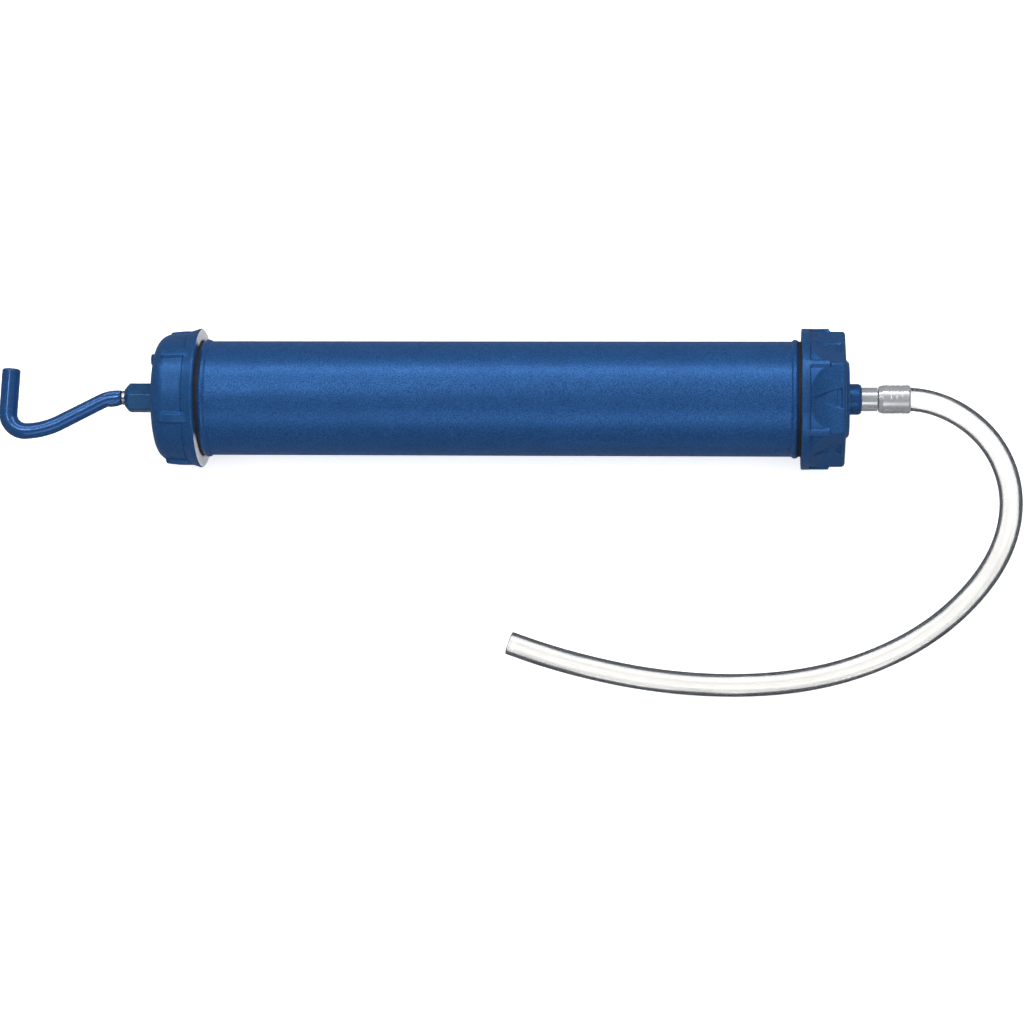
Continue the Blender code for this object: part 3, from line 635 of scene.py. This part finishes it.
def make_gland_nut(look):
    """Hexagon with a coned end, and the shank inside the cap that squeezes the packing."""
    low, high = box_mm("gland_nut")
    flats, cone, tip_r, shank_r, shank_length = 12.0, 2.4, 4.1, 5.4, 5.6
    front = high[0] - shank_length
    hexed = filled_in([(low[0] + 0.02, flats / 2), (front, flats / 2)], 0.22)
    section = [(low[0], ROD_HOLE_R + 0.2, 0), *hexed]
    shank = [(front, flats / 2 - 0.05), (front, shank_r), (high[0], shank_r), (high[0], ROD_HOLE_R)]
    section += rounded([*shank, (low[0] + 0.4, ROD_HOLE_R)], 0.2, closed=False)
    cut = hexagon(flats, low[0] + cone, low[0], tip_r)

    def shape(x, r, angle):
        cut_x, cut_r = cut(np.minimum(x, front), r, angle)
        return x, np.where(x <= front, cut_r, r)

    dress(lathe("gland_nut_hex", section, 180, shape), "gland_nut", look)


def make_ring(node, bore_r, look, fillet=0.25, sides=96):
    """A flat ring or sleeve, its length, place and outer radius from the frame."""
    low, high = box_mm(node)
    outer_r = high[2] - AXIS_Z
    section = [(low[0], bore_r), (low[0], outer_r), (high[0], outer_r), (high[0], bore_r)]
    dress(lathe(f"{node}_ring", rounded(section, fillet, 3), sides), node, look)


def make_hose_fitting(look):
    """Turned nipple with its barbs, and the crimped ferrule with a coned shoulder and shallow crimp rings."""
    low, high = box_mm("hose_nipple")
    collar_r, shank_r, neck_r, barb_r = 5.2, 4.0, 3.0, 3.4
    collar_end = FERRULE_START - 0.3
    collar_start = collar_end - 7.2
    section = [(low[0], NIPPLE_BORE_R), (low[0], shank_r), (collar_start, shank_r)]
    section += [(collar_start, collar_r, 0.35), (collar_end, collar_r, 0.45), (collar_end, neck_r)]
    pitch, count = 2.1, 3
    barb_x = high[0] - pitch * count
    for _ in range(count):
        section += [(barb_x, neck_r), (barb_x + 0.1, barb_r)]
        barb_x += pitch
    section += [(high[0], neck_r - 0.3), (high[0], NIPPLE_BORE_R)]
    dress(lathe("hose_nipple_turned", rounded(section, 0.12, 3), 96), "hose_nipple", look)

    length = FERRULE_END - FERRULE_START
    shoulder, bore_r, end_wall = 2.0, 5.5, 1.3
    body = [(shoulder, FERRULE_R)]
    for middle in (5.0, 7.4, 9.8):
        for offset in (-0.7, -0.35, 0, 0.35, 0.7):
            body.append((middle + offset, FERRULE_R - 0.13 * math.cos(offset / 0.7 * math.pi / 2), 0))
    body += [(length - 0.7, FERRULE_R, 0.3), (length, FERRULE_R - 0.5, 0.3)]
    section = [(0, neck_r + 0.3), (0, collar_r + 0.4), *body]
    section += [(length, bore_r), (end_wall, bore_r), (end_wall, neck_r + 0.3)]
    sleeve = lathe("hose_ferrule_crimped", rounded(section, 0.25, 3), 128, x=FERRULE_START)
    dress(sleeve, "hose_ferrule", look)


def make_cup(node, facing, look):
    """A formed leather cup; facing is +1 if its lip points forwards."""
    low, high = box_mm(node)
    outer_r = high[2] - AXIS_Z
    depth = high[0] - low[0]
    wall, floor = 2.0, 2.5
    section = [(0, THREAD_HOLE_R), (0, outer_r, 2.4), (depth, outer_r, 0.4)]
    section += [(depth, outer_r - wall + 0.9, 0.4), (depth - 2.5, outer_r - wall, 0.8)]
    section += [(floor, outer_r - wall, 2.0), (floor, THREAD_HOLE_R)]
    start = low[0] if facing > 0 else high[0]
    section = [(start + facing * x, r, *own) for x, r, *own in section]
    dress(lathe(f"{node}_formed", rounded(section, 0.2, 6), 192), node, look)


def make_rod(look, jam_nut_start):
    """Drawn rod with a cut thread under the piston and a spigot in the handle."""
    thread_start = jam_nut_start - 0.3
    thread_pitch, thread_depth = 1.27, 0.35
    shank_end = HANDLE_START + 0.3
    spigot_r = 2.0
    section = [(ROD_END, 0.01, 0), (ROD_END, spigot_r), (shank_end, spigot_r), (shank_end, ROD_R, 0.25)]
    section += [(thread_start - 0.3, ROD_R, 0.1)]
    threaded = filled_in([(thread_start, ROD_THREAD_R), (ROD_FRONT - 0.5, ROD_THREAD_R)], 0.13)
    section = rounded(section, 0.15, 3, closed=False)
    section += threaded + [(ROD_FRONT, ROD_THREAD_R - 0.5), (ROD_FRONT, 0.01)]

    def shape(x, r, angle):
        cut = np.abs((x / thread_pitch - angle / (2 * math.pi)) % 1 - 0.5) * 2
        inside = (x >= thread_start) & (r > ROD_THREAD_R - 0.1)
        return x, np.where(inside, r - thread_depth * cut, r)

    dress(lathe("piston_rod_drawn", section, 72, shape), "piston_rod", look)


# --- Handle ---------------------------------------------------------------------------------------------


def handle_route(step):
    """Points about step apart on the handle's centreline, X and Y from the rod's end, as the CAD bends it.
    An arc is its radius and its turn in degrees."""
    bends = (("line", 2.0, 0), ("arc", 16.0, 27.4), ("line", 20.5, 0))
    bends += (("arc", 36.0, -25.4), ("arc", 8.2, -94.0), ("line", 19.6, 0))
    x, y, heading = 0.0, 0.0, 180.0
    points = [(x, y)]
    for kind, size, turn in bends:
        length = size if kind == "line" else size * math.radians(abs(turn))
        count = max(1, round(length / step))
        for _ in range(count):
            heading += turn / count / 2
            x += length / count * math.cos(math.radians(heading))
            y += length / count * math.sin(math.radians(heading))
            heading += turn / count / 2
            points.append((x, y))
    return points


def make_handle(look):
    """Bent bar, pinched onto the rod at its start and cut square at the tip of its grip."""
    start_r, shank_r, grip_r = 3.35, 3.5, 4.1
    route = [(HANDLE_START + x, y, AXIS_Z) for x, y in handle_route(0.6)]
    runs = np.append(0, np.cumsum([math.dist(a, b) for a, b in zip(route, route[1:])]))
    total = runs[-1]

    def radius(run, angle):
        share = run / total
        plain = np.interp(share, (0, 0.12, 0.55, 0.75, 1), (start_r, start_r, shank_r, grip_r, grip_r))
        end_edge = np.minimum(run, total - run)
        plain = plain - 0.35 * (1 - np.sqrt(np.clip(1 - (1 - np.clip(end_edge / 0.6, 0, 1)) ** 2, 0, 1)))
        down = np.cos(angle)
        ear = smooth((down - 0.55) / 0.4) * smooth((run - 0.8) / 1.6) * smooth((7.6 - run) / 2.2)
        crease = np.exp(-((angle - 2.0) / 0.16) ** 2) * smooth((9 - run) / 4)
        return plain + 0.55 * ear - 0.45 * crease

    grid = sweep(route, 64, radius)
    dress(skin("pull_handle_bar", grid, closed=False), "pull_handle", look)


# --- Hose -----------------------------------------------------------------------------------------------


def smooth_route(route, step=1.0):
    """Points about a step apart on the natural cubic spline through the route's points."""
    knots = np.array(route)
    spans = np.linalg.norm(np.diff(knots, axis=0), axis=1)
    system = np.eye(len(knots))
    bends = np.zeros_like(knots)
    for i in range(1, len(spans)):
        system[i, i - 1:i + 2] = spans[i - 1], 2 * (spans[i - 1] + spans[i]), spans[i]
        bends[i] = 6 * ((knots[i + 1] - knots[i]) / spans[i] - (knots[i] - knots[i - 1]) / spans[i - 1])
    bends = np.linalg.solve(system, bends)
    made = []
    for i, span in enumerate(spans):
        for after in np.arange(0, span, step):
            before = span - after
            start = bends[i] * before * (before**2 - span**2) / 6 + knots[i] * before
            end = bends[i + 1] * after * (after**2 - span**2) / 6 + knots[i + 1] * after
            made.append((start + end) / span)
    return np.array([*made, knots[-1]])


def make_hose(outside_look, bore_look):
    """Hollow clear tube from over the nipple's barbs, out of the ferrule, down to the table and round."""
    sides = 64
    route = [(x + MIDDLE, y, z) for x, y, z in HOSE_ROUTE]
    inside = (FERRULE_START + 2.0, 0.0, AXIS_Z)
    nipple_tip = (box_mm("hose_nipple")[1][0], 0.0, AXIS_Z)
    centers = smooth_route([inside, nipple_tip, *route], 1.5)

    def outside(run, angle):
        return HOSE_R + 0.05 * np.sin(run / 23 + 2 * angle) * smooth((run - 15) / 20)

    outer = sweep(centers, sides, outside)
    bore = sweep(centers, sides, lambda run, angle: outside(run, angle) - (HOSE_R - HOSE_BORE_R))
    shape = skin("hose_tube", np.concatenate([outer, bore[::-1]]), closed=True)
    dress(shape, "hose", outside_look)
    shape.data.materials.append(bore_look)
    for face in shape.data.polygons:
        face.material_index = int(face.index >= (len(centers) - 1) * sides)
    runs = np.gradient(centers, axis=0)
    runs /= np.linalg.norm(runs, axis=1)[:, None]
    along = shape.data.attributes.new("along", "FLOAT_VECTOR", "POINT")
    along.data.foreach_set("vector", np.repeat(np.concatenate([runs, runs[::-1]]), sides, axis=0).ravel())


# --- Everything -----------------------------------------------------------------------------------------


def main():
    add_camera()
    # dark painted refraction on the hose's outside edges, pale painted refraction on its bore
    dark_painted_refraction, pale_painted_refraction = (0.006, 0.007, 0.009), (0.75, 0.75, 0.75)
    make_hose(clear_vinyl("clear_vinyl_outside", dark_painted_refraction), clear_vinyl("clear_vinyl_bore", pale_painted_refraction))

    # near-black painted shade for the gap between each bead and its cap
    painted_gap_shade = moulded("painted_gap_shade", (0.012, 0.008, 0.007), 0.7, 900, 0.00003)
    make_barrel(enamel("barrel_enamel", (0.019, 0.09, 0.27), 0.35, 0.36, 0.00001), painted_gap_shade)
    casting = enamel("casting_enamel", (0.019, 0.088, 0.255), 0.25, 0.34, 0.00002)
    make_front_cap(casting)
    make_gland_nut(enamel("nut_enamel", (0.017, 0.08, 0.21), 0.2, 0.28, 0.00001, gloss=0.3))
    make_handle(enamel("handle_enamel", (0.017, 0.085, 0.26), 0.18, 0.2, 0.00001, gloss=0.5))

    zinc = plated("zinc_plating", (0.66, 0.68, 0.7), 0.22, 0.0005, 0.00001, metallic=0.65)
    steel = plated("drawn_steel", (0.62, 0.62, 0.6), 0.24, 0.0009, 0.000004)
    brass = plated("turned_brass", (0.71, 0.52, 0.24), 0.28, 0.0004, 0.000008)
    # the rear cap's rim face gets a painted reflection of the table at the pump's two sides
    make_rear_cap(casting, rim_painted_reflection("rim_painted_reflection", (0.012, 0.06, 0.18)))
    make_hose_fitting(zinc)
    rubber = moulded("nitrile_rubber", (0.03, 0.03, 0.03), 0.6, 900, 0.00003)
    felt = moulded("graphited_felt", (0.06, 0.06, 0.065), 0.85, 2200, 0.0002)
    fibre = moulded("red_fibre", (0.3, 0.06, 0.03), 0.7, 1500, 0.00004)
    make_ring("rear_cap_gasket", GASKET_BORE_R, rubber, 0.3, 160)
    make_ring("front_cap_gasket", GASKET_BORE_R, rubber, 0.3, 160)
    make_ring("gland_packing", ROD_HOLE_R, felt, 0.4)
    make_ring("gland_washer", ROD_HOLE_R, brass, 0.12)
    make_ring("rod_guide", ROD_HOLE_R, brass, 0.3)
    make_ring("nipple_seal", NIPPLE_HOLE_R, fibre, 0.15)

    leather = oiled_leather()
    make_cup("front_cup", 1, leather)
    make_cup("rear_cup", -1, leather)
    make_ring("cup_spacer", THREAD_HOLE_R, steel, 0.3, 160)
    make_ring("front_follower", THREAD_HOLE_R, steel, 0.3, 160)
    make_ring("rear_follower", THREAD_HOLE_R, steel, 0.3, 160)
    make_nut("piston_nut", steel)
    make_nut("rear_jam_nut", steel)
    frame["nodes"]["spring_washer"].data.materials.clear()
    frame["nodes"]["spring_washer"].data.materials.append(steel)
    make_rod(steel, box_mm("rear_jam_nut")[0][0])
    add_studio()


main()
